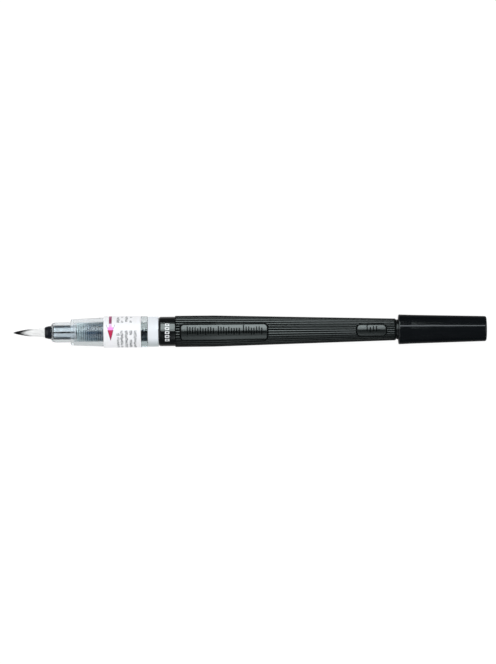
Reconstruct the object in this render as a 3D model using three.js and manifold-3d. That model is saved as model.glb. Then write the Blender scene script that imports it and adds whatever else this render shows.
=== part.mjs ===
// Refillable brush pen with its cap posted on the tail. Millimetres.
// The pen lies along X with the brush tip towards -X. Z is up, and the pen rests on Z = 0.
// The printed side, with the two smooth panels of the barrel, faces +Z.
import * as THREE from "three";
import { mergeVertices } from "three/addons/utils/BufferGeometryUtils.js";
import Module from "manifold-3d";

const wasm = await Module();
wasm.setup();

// Facets round the turned pieces. Pieces that slide on each other share one number.
const OUTSIDE_FACETS = 40;
const INSIDE_FACETS = 28;
const SMALL_FACETS = 18;
const FIN_FACETS = 14;
const FILLET_STEPS = 3;

// Widest radius, at the label, which the pen lies on.
const LABEL_RADIUS = 6.3;
const AXIS_Z = LABEL_RADIUS * Math.cos(Math.PI / OUTSIDE_FACETS);

// Stations along the pen.
const TIP_X = -94.6;
const FERRULE_X = -81.92;
const NOSE_X = -79.32;
const SHOULDER_X = -71.52;
const LABEL_X = -58.24;
const LABEL_END_X = -43.44;
const HOUSING_END_X = -40.84;
const BAND_X = -36.36;
const BARREL_X = -29.84;
const TAPER_X = -14.3;
const BARREL_END_X = 58.48;
const POST_END_X = 66.5;
const CAP_X = 59.36;
const CAP_END_X = 94.6;

// Brush tuft and what holds it.
const TUFT_RADIUS = 1.92;
const TUFT_SHOULDER_RADIUS = 1.38;
const TUFT_POINT_LENGTH = 6.2;
const TUFT_POINT_POWER = 0.6;
const TUFT_ROOT_X = -76.0;
const HOLDER_RADIUS = 2.85;
const NOSE_BORE_RADIUS = 2.95;
const HOLDER_X = -78.2;
const HOLDER_END_X = -69.3;
const SLOT_WIDTH = 0.55;
const SLOT_COUNT = 6;
const LONG_SLOT_END_X = -69.9;
const SHORT_SLOT_END_X = -71.6;

// Ink collector.
const COLLECTOR_X = -69.1;
const COLLECTOR_END_X = -41.2;
const CORE_RADIUS = 3.55;
const FIN_RADIUS = 3.85;
const FIN_COUNT = 29;
const FIN_PITCH = 0.86;
const FIN_THICKNESS = 0.42;
const DRUM_X = -43.9;
const ROD_RADIUS = 0.9;
const TUBE_RADIUS = 1.3;

// Clear housing.
const NOSE_RADIUS = 4.0;
const HOUSING_FRONT_RADIUS = 5.18;
const HOUSING_REAR_RADIUS = 5.8;
const SKIRT_RADIUS = 6.17;
const CHAMBER_RADIUS = 3.95;
const SPIGOT_RADIUS = 4.75;
const SPIGOT_END_X = -31.0;

// Screw thread between the housing and the barrel's mouthpiece: a round ridge in a round groove.
const THREAD_PITCH = 1.8;
const RIDGE_RADIUS = 0.35;
const GROOVE_RADIUS = 0.55;
const RIDGE_TURNS = 2.2;
const GROOVE_TURNS = 3.7;
const RIDGE_X = -35.7;
const THREAD_STEPS_PER_TURN = 16;
const MOUTH_RADIUS = 4.92;

// Barrel.
const COLLAR_RADIUS = 6.02;
const BAND_RADIUS = 5.9;
const BARREL_RADIUS = 6.25;
const BARREL_TAIL_RADIUS = 4.35;
const BARREL_WALL = 1.12;
const RIB_COUNT = 34;
const FIRST_RIB_ANGLE = THREE.MathUtils.degToRad(91.8);
const RIB_DEPTH = 0.34;
const PANEL_RISE = 0.03;
const LONG_PANEL = { x: -10.3, y: -0.5, length: 34.4, width: 6.3, corner: 1.3 };
const SHORT_PANEL = { x: 48.6, y: -0.28, length: 11.5, width: 4.5, corner: 1.5 };

// Cap.
const CAP_MOUTH_RADIUS = 5.98;
const CAP_NECK_RADIUS = 5.76;
const CAP_NECK_X = 64.5;
const CAP_TOP_RADIUS = 5.0;
const CAP_BORE_RADIUS = 5.22;
const CAP_FLOOR_X = 93.4;
const CAP_FLOOR_RADIUS = 4.1;
const LINER_X = 60.6;
const LINER_END_X = 92.6;
const LINER_CUP_END_X = 68.6;
const LINER_CUP_RADIUS = 4.06;
const LINER_TUBE_RADIUS = 3.3;

// Rounds each corner [x, radius, fillet] of an outline that has a fillet.
function outline(corners) {
  const spots = corners.map(([x, radius]) => new THREE.Vector2(radius, x));
  const points = [];
  corners.forEach(([, , fillet = 0], i) => {
    const here = spots[i];
    if (fillet === 0) {
      points.push(here);
      return;
    }
    const back = spots[i - 1].clone().sub(here).normalize();
    const ahead = spots[i + 1].clone().sub(here).normalize();
    const halfAngle = back.angleTo(ahead) / 2;
    const middle = back.clone().add(ahead).normalize();
    const centre = here.clone().addScaledVector(middle, fillet / Math.sin(halfAngle));
    const reach = fillet / Math.tan(halfAngle);
    const first = here.clone().addScaledVector(back, reach).sub(centre);
    const last = here.clone().addScaledVector(ahead, reach).sub(centre);
    const sweep = Math.atan2(first.cross(last), first.dot(last));
    for (let k = 0; k <= FILLET_STEPS; k++) {
      const turned = first.clone().rotateAround(new THREE.Vector2(), (sweep * k) / FILLET_STEPS);
      points.push(turned.add(centre));
    }
  });
  return points;
}

// A solid turned about the pen's axis, with a facet facing straight down.
function turned(corners, facets) {
  const geometry = new THREE.LatheGeometry(outline(corners), facets, Math.PI / facets);
  return geometry.rotateZ(-Math.PI / 2).translate(0, 0, AXIS_Z);
}

function solidOf(geometry) {
  const loose = geometry.getIndex() ? geometry.toNonIndexed() : geometry;
  const bare = new THREE.BufferGeometry();
  bare.setAttribute("position", loose.getAttribute("position"));
  const merged = mergeVertices(bare, 1e-4);
  return new wasm.Manifold(
    new wasm.Mesh({
      numProp: 3,
      vertProperties: merged.getAttribute("position").array,
      triVerts: new Uint32Array(merged.getIndex().array),
    }),
  );
}

function geometryOf(solid) {
  const mesh = solid.getMesh();
  const geometry = new THREE.BufferGeometry();
  geometry.setAttribute("position", new THREE.BufferAttribute(mesh.vertProperties, 3));
  geometry.setIndex(new THREE.BufferAttribute(mesh.triVerts, 1));
  geometry.computeVertexNormals();
  return geometry;
}

// A slot cut inwards from radius `outer` to `inner`, at an angle about the axis from +Z.
function slotCutter(fromX, toX, inner, outer, width, angle) {
  const box = new THREE.BoxGeometry(toX - fromX, width, outer - inner);
  box.translate((fromX + toX) / 2, 0, (inner + outer) / 2);
  return solidOf(box.rotateX(angle).translate(0, 0, AXIS_Z));
}

// Helix about the pen's axis, right-handed.
class ThreadPath extends THREE.Curve {
  constructor(startX, turns) {
    super();
    this.startX = startX;
    this.turns = turns;
  }

  getPoint(t, target = new THREE.Vector3()) {
    const turn = (t * this.turns + this.startX / THREAD_PITCH) * 2 * Math.PI;
    const y = SPIGOT_RADIUS * Math.cos(turn);
    const z = SPIGOT_RADIUS * Math.sin(turn);
    return target.set(this.startX + t * this.turns * THREAD_PITCH, y, AXIS_Z + z);
  }
}

function threadCoil(startX, turns, radius) {
  const section = new THREE.Shape();
  section.absarc(0, 0, radius, 0, 2 * Math.PI);
  return solidOf(
    new THREE.ExtrudeGeometry(section, {
      curveSegments: 3,
      steps: Math.round(turns * THREAD_STEPS_PER_TURN),
      extrudePath: new ThreadPath(startX, turns),
    }),
  );
}

function bristleTuft() {
  const corners = [[TIP_X, 0]];
  for (let k = 1; k <= 8; k++) {
    const share = k / 8;
    const radius = TUFT_SHOULDER_RADIUS * share ** TUFT_POINT_POWER;
    corners.push([TIP_X + TUFT_POINT_LENGTH * share, radius]);
  }
  corners.push([FERRULE_X, TUFT_RADIUS]);
  corners.push([TUFT_ROOT_X, TUFT_RADIUS]);
  corners.push([TUFT_ROOT_X, 0]);
  return turned(corners, SMALL_FACETS);
}

function tuftRootRing() {
  return turned(
    [
      [-76.9, 1.98],
      [-76.9, 2.28],
      [-76.2, 2.28],
      [-76.2, 1.98],
      [-76.9, 1.98],
    ],
    SMALL_FACETS,
  );
}

function tipFerrule() {
  const bore = TUFT_RADIUS + 0.06;
  return turned(
    [
      [FERRULE_X, bore],
      [FERRULE_X, 2.16, 0.1],
      [-80.6, 2.54, 1.2],
      [NOSE_X - 0.1, 2.69, 0.1],
      [NOSE_X - 0.1, 2.56],
      [HOLDER_X - 0.1, 2.56],
      [HOLDER_X - 0.1, bore],
      [FERRULE_X, bore],
    ],
    SMALL_FACETS,
  );
}

// Slotted sleeve in the nose. The tuft's root sits in its front, and ink shows in its slots.
// The slots at the top and the bottom run on under the shoulder of the housing.
function slottedHolder() {
  const body = turned(
    [
      [HOLDER_X, 2.36],
      [HOLDER_X, HOLDER_RADIUS, 0.15],
      [HOLDER_END_X, HOLDER_RADIUS],
      [HOLDER_END_X, 1.0],
      [-74.6, 1.0],
      [-75.6, 2.36],
      [HOLDER_X, 2.36],
    ],
    SMALL_FACETS,
  );
  const cutters = [];
  for (let i = 0; i < SLOT_COUNT; i++) {
    const end = i % (SLOT_COUNT / 2) === 0 ? LONG_SLOT_END_X : SHORT_SLOT_END_X;
    const angle = (i * 2 * Math.PI) / SLOT_COUNT;
    cutters.push(slotCutter(HOLDER_X - 0.5, end, 1.75, 3.2, SLOT_WIDTH, angle));
  }
  return geometryOf(solidOf(body).subtract(wasm.Manifold.union(cutters)));
}

function inkFeedRod() {
  return turned(
    [
      [-75.9, 0],
      [-75.9, ROD_RADIUS],
      [-44.3, ROD_RADIUS],
      [-44.3, 0],
    ],
    SMALL_FACETS,
  );
}

// Core with thin fins and a drum behind them. Ink climbs the slot that crosses them on the underside.
function inkCollector() {
  const corners = [
    [COLLECTOR_X, ROD_RADIUS + 0.1],
    [COLLECTOR_X, CORE_RADIUS],
  ];
  for (let i = 0; i < FIN_COUNT; i++) {
    const x = COLLECTOR_X + 0.3 + i * FIN_PITCH;
    corners.push([x, CORE_RADIUS]);
    corners.push([x, FIN_RADIUS]);
    corners.push([x + FIN_THICKNESS, FIN_RADIUS]);
    corners.push([x + FIN_THICKNESS, CORE_RADIUS]);
  }
  corners.push([DRUM_X, CORE_RADIUS]);
  corners.push([DRUM_X, FIN_RADIUS]);
  corners.push([COLLECTOR_END_X, FIN_RADIUS]);
  corners.push([COLLECTOR_END_X, TUBE_RADIUS + 0.1]);
  corners.push([-44.0, TUBE_RADIUS + 0.1]);
  corners.push([-44.0, ROD_RADIUS + 0.1]);
  corners.push([COLLECTOR_X, ROD_RADIUS + 0.1]);
  const slot = slotCutter(COLLECTOR_X - 1, COLLECTOR_END_X + 1, 2.3, 4.2, 0.7, Math.PI);
  return geometryOf(solidOf(turned(corners, FIN_FACETS)).subtract(slot));
}

function frontHousing() {
  const corners = [
    [NOSE_X, 2.7],
    [NOSE_X, 3.15, 0.25],
    [-78.75, 3.72, 0.7],
    [-77.4, NOSE_RADIUS, 1.5],
    [SHOULDER_X, NOSE_RADIUS],
    [SHOULDER_X, HOUSING_FRONT_RADIUS, 0.45],
    [LABEL_X - 0.1, HOUSING_REAR_RADIUS],
    [LABEL_X - 0.1, SKIRT_RADIUS],
    [HOUSING_END_X, SKIRT_RADIUS],
    [HOUSING_END_X, SPIGOT_RADIUS],
    [SPIGOT_END_X, SPIGOT_RADIUS, 0.3],
    [SPIGOT_END_X, CHAMBER_RADIUS],
    [-69.9, CHAMBER_RADIUS, 0.3],
    [-70.4, NOSE_BORE_RADIUS],
    [-78.5, NOSE_BORE_RADIUS],
    [-78.6, 2.7],
    [NOSE_X, 2.7],
  ];
  const body = solidOf(turned(corners, OUTSIDE_FACETS));
  return geometryOf(body.add(threadCoil(RIDGE_X, RIDGE_TURNS, RIDGE_RADIUS)));
}

function labelSleeve() {
  return turned(
    [
      [LABEL_X, SKIRT_RADIUS + 0.02],
      [LABEL_X, LABEL_RADIUS],
      [LABEL_END_X, LABEL_RADIUS],
      [LABEL_END_X, SKIRT_RADIUS + 0.02],
      [LABEL_X, SKIRT_RADIUS + 0.02],
    ],
    OUTSIDE_FACETS,
  );
}

// Disc behind the collector that carries the feed tube.
function rearPlug() {
  const radius = CHAMBER_RADIUS - 0.08;
  return turned(
    [
      [-41.0, TUBE_RADIUS + 0.05],
      [-41.0, radius],
      [-39.2, radius, 0.2],
      [-39.2, 2.2],
      [-36.8, 2.0],
      [-36.8, TUBE_RADIUS + 0.05],
      [-41.0, TUBE_RADIUS + 0.05],
    ],
    INSIDE_FACETS,
  );
}

function feedTube() {
  return turned(
    [
      [-43.8, 0.65],
      [-43.8, TUBE_RADIUS],
      [-25.4, TUBE_RADIUS],
      [-24.2, 0.9],
      [-24.2, 0.65],
      [-43.8, 0.65],
    ],
    INSIDE_FACETS,
  );
}

function spacerCollar() {
  return turned(
    [
      [HOUSING_END_X + 0.1, 5.2],
      [HOUSING_END_X + 0.1, COLLAR_RADIUS, 0.2],
      [BAND_X - 0.1, COLLAR_RADIUS, 0.2],
      [BAND_X - 0.1, 5.2],
      [HOUSING_END_X + 0.1, 5.2],
    ],
    OUTSIDE_FACETS,
  );
}

// Hard mouthpiece of the barrel: the glossy band outside, the screw groove inside.
function mouthBand() {
  const body = turned(
    [
      [BAND_X, MOUTH_RADIUS + 0.1],
      [BAND_X, BAND_RADIUS, 0.8],
      [BARREL_X - 0.05, BAND_RADIUS],
      [BARREL_X - 0.05, 5.02],
      [-25.6, 5.02, 0.3],
      [-25.6, 2.3],
      [-29.3, 2.3],
      [-29.3, MOUTH_RADIUS],
      [BAND_X + 0.1, MOUTH_RADIUS],
      [BAND_X, MOUTH_RADIUS + 0.1],
    ],
    OUTSIDE_FACETS,
  );
  const turnsAhead = Math.ceil(1.5 / THREAD_PITCH);
  const groove = threadCoil(RIDGE_X - turnsAhead * THREAD_PITCH, GROOVE_TURNS, GROOVE_RADIUS);
  return geometryOf(solidOf(body).subtract(groove));
}

function sealRing() {
  return turned(
    [
      [-30.6, 2.6],
      [-30.6, 4.4],
      [-29.5, 4.4],
      [-29.5, 2.6],
      [-30.6, 2.6],
    ],
    INSIDE_FACETS,
  );
}

function orificePlug() {
  return turned(
    [
      [-29.2, TUBE_RADIUS + 0.15],
      [-29.2, 2.2],
      [-25.4, 2.2],
      [-25.4, 2.9],
      [-24.8, 2.9],
      [-24.8, TUBE_RADIUS + 0.15],
      [-29.2, TUBE_RADIUS + 0.15],
    ],
    INSIDE_FACETS,
  );
}

// Crest radius of the barrel's ribs: parallel at first, then a straight taper to the tail.
function barrelRadius(x) {
  const slope = (BARREL_RADIUS - BARREL_TAIL_RADIUS) / (BARREL_END_X - TAPER_X);
  return BARREL_RADIUS - slope * Math.max(0, x - TAPER_X);
}

// Ribbed rod whose section is scaled to the barrel's radius at each station.
function ribbedRod() {
  const section = new THREE.Shape();
  for (let i = 0; i < RIB_COUNT; i++) {
    const step = (2 * Math.PI) / RIB_COUNT;
    const corners = [
      [i - 0.28, 1],
      [i + 0.28, 1],
      [i + 0.5, 1 - RIB_DEPTH / BARREL_RADIUS],
    ];
    corners.forEach(([turn, radius], k) => {
      const angle = FIRST_RIB_ANGLE + turn * step;
      const x = radius * Math.cos(angle);
      const y = radius * Math.sin(angle);
      if (i === 0 && k === 0) section.moveTo(x, y);
      else section.lineTo(x, y);
    });
  }
  const stations = [
    [BARREL_X, BARREL_RADIUS - 0.3],
    [BARREL_X + 0.3, BARREL_RADIUS],
    [TAPER_X, barrelRadius(TAPER_X)],
    [BARREL_END_X - 0.3, barrelRadius(BARREL_END_X - 0.3)],
    [BARREL_END_X, barrelRadius(BARREL_END_X) - 0.3],
  ];
  const steps = stations.length - 1;
  const rod = new THREE.ExtrudeGeometry(section, { depth: 1, steps, bevelEnabled: false });
  const spots = rod.getAttribute("position");
  for (let i = 0; i < spots.count; i++) {
    const [x, radius] = stations[Math.round(spots.getZ(i) * steps)];
    spots.setXYZ(i, x, spots.getX(i) * radius, AXIS_Z + spots.getY(i) * radius);
  }
  return solidOf(rod);
}

// Smooth panel that follows the barrel's round and stands level with the ribs.
function smoothPanel({ x, y, length, width, corner }) {
  const round = turned(
    [
      [BARREL_X + 1, 0],
      [BARREL_X + 1, BARREL_RADIUS + PANEL_RISE],
      [TAPER_X, BARREL_RADIUS + PANEL_RISE],
      [BARREL_END_X - 1, barrelRadius(BARREL_END_X - 1) + PANEL_RISE],
      [BARREL_END_X - 1, 0],
    ],
    OUTSIDE_FACETS,
  );
  const face = new THREE.Shape();
  const left = x - length / 2;
  const right = x + length / 2;
  const low = y - width / 2;
  const high = y + width / 2;
  face.absarc(right - corner, high - corner, corner, 0, Math.PI / 2);
  face.absarc(left + corner, high - corner, corner, Math.PI / 2, Math.PI);
  face.absarc(left + corner, low + corner, corner, Math.PI, Math.PI * 1.5);
  face.absarc(right - corner, low + corner, corner, Math.PI * 1.5, Math.PI * 2);
  const prism = new THREE.ExtrudeGeometry(face, {
    depth: LABEL_RADIUS,
    curveSegments: 4,
    bevelEnabled: false,
  });
  return solidOf(round).intersect(solidOf(prism.translate(0, 0, AXIS_Z + 2)));
}

function barrelShell() {
  const hollow = turned(
    [
      [BARREL_X - 1, 0],
      [BARREL_X - 1, BARREL_RADIUS - BARREL_WALL],
      [TAPER_X, BARREL_RADIUS - BARREL_WALL],
      [BARREL_END_X + 1, barrelRadius(BARREL_END_X + 1) - BARREL_WALL],
      [BARREL_END_X + 1, 0],
    ],
    OUTSIDE_FACETS,
  );
  const outside = ribbedRod().add(smoothPanel(LONG_PANEL)).add(smoothPanel(SHORT_PANEL));
  return geometryOf(outside.subtract(solidOf(hollow)));
}

// Plug that closes the tail and carries the post for the cap.
function tailPost() {
  return turned(
    [
      [49.5, 0],
      [49.5, 2.9],
      [50.0, 3.08],
      [BARREL_END_X + 0.1, 3.08],
      [BARREL_END_X + 0.1, NOSE_RADIUS],
      [POST_END_X, NOSE_RADIUS, 0.5],
      [POST_END_X, 1.9],
      [52.0, 1.9],
      [51.0, 0],
    ],
    INSIDE_FACETS,
  );
}

function capShell() {
  return turned(
    [
      [CAP_X, CAP_BORE_RADIUS],
      [CAP_X, CAP_MOUTH_RADIUS, 0.45],
      [CAP_NECK_X, CAP_NECK_RADIUS, 12],
      [CAP_END_X, CAP_TOP_RADIUS, 0.75],
      [CAP_END_X, 0],
      [CAP_FLOOR_X, 0],
      [CAP_FLOOR_X, CAP_FLOOR_RADIUS, 0.4],
      [61.0, 5.0],
      [CAP_X, CAP_BORE_RADIUS],
    ],
    OUTSIDE_FACETS,
  );
}

// Inner cap: the cup grips the clear nose or the tail post, and the tube clears the brush.
function capLiner() {
  return turned(
    [
      [LINER_X, LINER_CUP_RADIUS + 0.25],
      [LINER_X, 4.72],
      [LINER_CUP_END_X + 0.2, 4.6],
      [LINER_CUP_END_X + 1.4, 3.9],
      [LINER_END_X, 3.9, 0.5],
      [LINER_END_X, 0],
      [LINER_END_X - 1, 0],
      [LINER_END_X - 1, LINER_TUBE_RADIUS, 0.4],
      [LINER_CUP_END_X + 0.5, LINER_TUBE_RADIUS],
      [LINER_CUP_END_X, LINER_CUP_RADIUS],
      [LINER_X + 0.4, LINER_CUP_RADIUS],
      [LINER_X, LINER_CUP_RADIUS + 0.25],
    ],
    INSIDE_FACETS,
  );
}

function piece(name, geometry, color, roughness, metalness = 0) {
  const material = new THREE.MeshStandardMaterial({ color, roughness, metalness });
  const mesh = new THREE.Mesh(geometry, material);
  mesh.name = name;
  return mesh;
}

const pen = new THREE.Group();
pen.name = "brush_pen";
pen.add(piece("bristle_tuft", bristleTuft(), 0xf4f5f2, 0.7));
pen.add(piece("tuft_root_ring", tuftRootRing(), 0xdadcd8, 0.6));
pen.add(piece("tip_ferrule", tipFerrule(), 0x0e1419, 0.35));
pen.add(piece("slotted_holder", slottedHolder(), 0xbecdd7, 0.3));
pen.add(piece("ink_feed_rod", inkFeedRod(), 0x1c232b, 0.8));
pen.add(piece("ink_collector", inkCollector(), 0x6f8596, 0.35));
pen.add(piece("front_housing", frontHousing(), 0xe6eaec, 0.08));
pen.add(piece("label_sleeve", labelSleeve(), 0xfafafc, 0.4));
pen.add(piece("rear_plug", rearPlug(), 0x2b3a48, 0.4));
pen.add(piece("feed_tube", feedTube(), 0xc9d2d8, 0.25));
pen.add(piece("spacer_collar", spacerCollar(), 0xe6ecf2, 0.45));
pen.add(piece("mouth_band", mouthBand(), 0x0a0c0d, 0.12));
pen.add(piece("seal_ring", sealRing(), 0x24282b, 0.85));
pen.add(piece("orifice_plug", orificePlug(), 0x3a4044, 0.6));
pen.add(piece("barrel_shell", barrelShell(), 0x2c3331, 0.42));
pen.add(piece("tail_post", tailPost(), 0x15181a, 0.35));
pen.add(piece("cap_shell", capShell(), 0x0c1012, 0.1));
pen.add(piece("cap_liner", capLiner(), 0x1a1d1f, 0.5));

export default pen;
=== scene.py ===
"""Looks of the brush pen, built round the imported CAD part. Lengths inside the functions are millimetres."""

import math
import random

import bmesh
import bpy
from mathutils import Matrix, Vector


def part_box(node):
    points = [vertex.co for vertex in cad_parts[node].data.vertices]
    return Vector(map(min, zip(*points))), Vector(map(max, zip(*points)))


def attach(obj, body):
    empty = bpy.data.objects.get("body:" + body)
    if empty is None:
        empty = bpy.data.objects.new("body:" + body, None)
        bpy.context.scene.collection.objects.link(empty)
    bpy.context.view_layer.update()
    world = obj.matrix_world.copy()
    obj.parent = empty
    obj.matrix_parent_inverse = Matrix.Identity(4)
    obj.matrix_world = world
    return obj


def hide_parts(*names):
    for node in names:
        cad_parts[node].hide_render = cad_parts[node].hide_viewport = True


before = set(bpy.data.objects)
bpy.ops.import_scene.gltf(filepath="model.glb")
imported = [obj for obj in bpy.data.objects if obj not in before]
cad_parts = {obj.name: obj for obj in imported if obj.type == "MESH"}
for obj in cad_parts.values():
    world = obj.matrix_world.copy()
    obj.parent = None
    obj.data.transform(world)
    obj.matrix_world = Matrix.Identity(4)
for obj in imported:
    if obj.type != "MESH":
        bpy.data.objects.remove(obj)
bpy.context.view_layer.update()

MM = 0.001
LOW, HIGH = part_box("cap_shell")
AXIS_Z = (LOW.z + HIGH.z) / 2 / MM

# Stations along the pen, the same as the CAD part's.
TIP_X = -94.6
FERRULE_X = -81.92
NOSE_X = -79.32
HOLDER_X = -78.2
TUFT_ROOT_X = -76.0
SHOULDER_X = -71.52
CHAMBER_X = -70.4
HOLDER_END_X = -69.3
COLLECTOR_X = -69.1
LABEL_X = -58.24
DRUM_X = -43.9
LABEL_END_X = -43.44
COLLECTOR_END_X = -41.2
HOUSING_END_X = -40.84
BAND_X = -36.36
SPIGOT_END_X = -31.0
BARREL_X = -29.84
TAPER_X = -14.3
BARREL_END_X = 58.48
CAP_X = 59.36
POST_END_X = 66.5
CAP_END_X = 94.6

# Radii, in the same order.
TUFT_SHOULDER_R = 1.38
TUFT_R = 1.9
FERRULE_BORE_R = 1.98
HOLDER_R = 2.85
HOLDER_BORE_R = 2.36
NOSE_BORE_R = 2.95
NOSE_R = 4.0
CHAMBER_R = 3.95
CORE_R = 3.55
FIN_R = 3.85
ROD_R = 0.9
ROD_BORE_R = 1.0
TUBE_R = 1.3
HOUSING_FRONT_R = 5.18
HOUSING_REAR_R = 5.8
SKIRT_R = 6.17
LABEL_R = 6.28
SPIGOT_R = 4.75
MOUTH_BORE_R = 4.92
BAND_R = 5.9
BARREL_R = 6.25
BARREL_TAIL_R = 4.35
POST_SHANK_R = 3.08
POST_R = 4.0
POST_BORE_R = 1.9
CAP_MOUTH_R = 5.98
CAP_REAR_R = 5.0

# What repeats.
TUFT_POINT = 6.2
FILAMENTS = 420
FILAMENT_SIDES = 5
FILAMENT_ROWS = 15
FILAMENT_ROOT = 12.9
SLOTS = 6
SLOT_WIDTH = 0.55
FINS = 29
FIN_PITCH = 0.86
FIN_THICKNESS = 0.42
THREAD_PITCH = 1.8
RIBS = 34
RIB_TURN = math.radians(-1.8)
FACETS_PER_RIB = 16

# Smooth panels on the barrel: middle along the pen, middle across, length, width, corner radius.
PANELS = ((-10.3, -0.5, 34.4, 6.3, 1.3), (48.6, -0.28, 11.5, 4.5, 1.5))

# Rows of print on the label: place behind its front edge, pitch of the strokes, highest and lowest arc.
PRINT_ROWS = (
    (5.72, 0.50, 7.6, -8.6),
    (7.25, 0.44, 8.0, -9.0),
    (9.04, 0.42, 8.4, -9.4),
    (10.84, 0.48, 7.9, -8.8),
    (12.55, 0.53, 8.6, -9.6),
)

# Groups of engraved bars: first place along the pen, pitch, number of bars, shift across, size.
ENGRAVED_GROUPS = (
    (-25.4, 1.04, 11, 0.0, 1.0),
    (-13.0, 1.04, 9, 0.0, 1.0),
    (-3.0, 1.04, 8, 0.0, 1.0),
    (46.2, 1.25, 4, 0.1, 0.8),
)

# Camera: lens and sensor in millimetres, and the height of the frame in metres.
LENS = 200
SENSOR = 36
FRAME_HEIGHT = 0.2656


# ---------------------------------------------------------------- meshes


def rounded(corners, steps, closed):
    """Outline points of corners (x, radius, fillet), with an arc at each corner that has a fillet."""
    points = []
    for i, corner in enumerate(corners):
        here = Vector(corner[:2])
        fillet = corner[2] if len(corner) > 2 else 0
        if not fillet:
            points.append(tuple(here))
            continue
        following = corners[(i + 1) % len(corners)] if closed else corners[i + 1]
        back = (Vector(corners[i - 1][:2]) - here).normalized()
        ahead = (Vector(following[:2]) - here).normalized()
        half = back.angle(ahead) / 2
        centre = here + (back + ahead).normalized() * (fillet / math.sin(half))
        reach = fillet / math.tan(half)
        first = here + back * reach - centre
        last = here + ahead * reach - centre
        sweep = math.atan2(first.x * last.y - first.y * last.x, first.dot(last))
        for k in range(steps + 1):
            c, s = math.cos(sweep * k / steps), math.sin(sweep * k / steps)
            points.append((centre.x + first.x * c - first.y * s, centre.y + first.x * s + first.y * c))
    return points


def guarded(points, closed):
    """Adds a ring just inside each end of every long run, so that smooth shading doesn't bend it."""
    out = []
    for i, here in enumerate(points):
        out.append(here)
        if i == len(points) - 1 and not closed:
            break
        ahead = points[(i + 1) % len(points)]
        length = math.dist(here, ahead)
        if length > 0.5:
            for t in (0.05 / length, 1 - 0.05 / length):
                out.append((here[0] + (ahead[0] - here[0]) * t, here[1] + (ahead[1] - here[1]) * t))
    return out


def finish_mesh(name, verts, faces, sharp=38):
    """A smooth-shaded object with outward faces, from vertices in millimetres about the pen's axis."""
    mesh = bpy.data.meshes.new(name)
    scaled = [(x * MM, y * MM, (z + AXIS_Z) * MM) for x, y, z in verts]
    mesh.from_pydata(scaled, [], faces)
    work = bmesh.new()
    work.from_mesh(mesh)
    bmesh.ops.recalc_face_normals(work, faces=work.faces)
    work.to_mesh(mesh)
    work.free()
    mesh.polygons.foreach_set("use_smooth", [True] * len(mesh.polygons))
    mesh.set_sharp_from_angle(angle=math.radians(sharp))
    obj = bpy.data.objects.new(name, mesh)
    bpy.context.scene.collection.objects.link(obj)
    return obj


def spin(name, corners, columns=160, steps=6, shape=None, sharp=38):
    """Turns an outline about the pen's axis. shape(x, r, angle) may move a point's radius.

    An outline that doesn't start on the axis is a loop.
    """
    closed = corners[0][1] > 0
    points = guarded(rounded(corners, steps, closed), closed)
    verts, rings = [], []
    for x, r in points:
        if r < 1e-6:
            rings.append([len(verts)])
            verts.append((x, 0, 0))
            continue
        ring = []
        for k in range(columns):
            a = 2 * math.pi * k / columns
            q = shape(x, r, a) if shape else r
            ring.append(len(verts))
            verts.append((x, q * math.sin(a), q * math.cos(a)))
        rings.append(ring)
    faces = []
    pairs = list(zip(rings, rings[1:]))
    if closed:
        pairs.append((rings[-1], rings[0]))
    for a, b in pairs:
        for k in range(columns):
            n = (k + 1) % columns
            if len(a) == 1 and len(b) == 1:
                break
            if len(a) == 1:
                faces.append((a[0], b[n], b[k]))
            elif len(b) == 1:
                faces.append((a[k], a[n], b[0]))
            else:
                faces.append((a[k], a[n], b[n], b[k]))
    return finish_mesh(name, verts, faces, sharp)


def cut(obj, boxes):
    """Cuts boxes (low corner, high corner, angle about the axis) out of obj."""
    verts, faces = [], []
    for low, high, angle in boxes:
        base = len(verts)
        for x in (low[0], high[0]):
            for y, z in ((low[1], low[2]), (high[1], low[2]), (high[1], high[2]), (low[1], high[2])):
                c, s = math.cos(angle), math.sin(angle)
                verts.append((x, y * c + z * s, z * c - y * s))
        for q in ((0, 1, 2, 3), (7, 6, 5, 4), (0, 4, 5, 1), (1, 5, 6, 2), (2, 6, 7, 3), (3, 7, 4, 0)):
            faces.append(tuple(base + i for i in q))
    tool = finish_mesh("cutter", verts, faces)
    change = obj.modifiers.new("cut", "BOOLEAN")
    change.operation = "DIFFERENCE"
    change.solver = "EXACT"
    change.object = tool
    graph = bpy.context.evaluated_depsgraph_get()
    made = bpy.data.meshes.new_from_object(obj.evaluated_get(graph))
    obj.modifiers.clear()
    obj.data = made
    made.polygons.foreach_set("use_smooth", [True] * len(made.polygons))
    made.set_sharp_from_angle(angle=math.radians(38))
    bpy.data.objects.remove(tool)


def helix_lift(start, turns, radius, offset):
    """Distance from the thread's centre line as a lift: radius of the round ridge or groove at (x, angle)."""

    def lift(x, angle):
        # the CAD helix turns from +Y to +Z; this angle runs from +Z to +Y
        turn = (math.pi / 2 - angle) / (2 * math.pi)
        k = (x / THREAD_PITCH - turn) % 1.0
        d = min(k, 1 - k) * THREAD_PITCH
        travelled = (x - start) / THREAD_PITCH
        fade = max(0.0, min(1.0, travelled / 0.12, (turns - travelled) / 0.12))
        if d >= radius or fade <= 0:
            return 0.0
        return fade * (math.sqrt(radius * radius - d * d) + offset)

    return lift


def threaded(radius, lift):
    """A shape for spin that lifts the points at one radius."""

    def shape(x, r, angle):
        return r + max(0.0, lift(x, angle)) if abs(r - radius) < 1e-6 else r

    return shape


def turned(start, end, bore, outer, fillet):
    """Outline of a ring with rounded outer edges, or of a rod if its bore is 0."""
    return [(start, bore), (start, outer, fillet), (end, outer, fillet), (end, bore)]


def span(low, high, step):
    """Evenly spaced stations from low to high, about step apart."""
    count = max(1, round(abs(high - low) / step))
    return [low + (high - low) * k / count for k in range(count + 1)]


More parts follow.
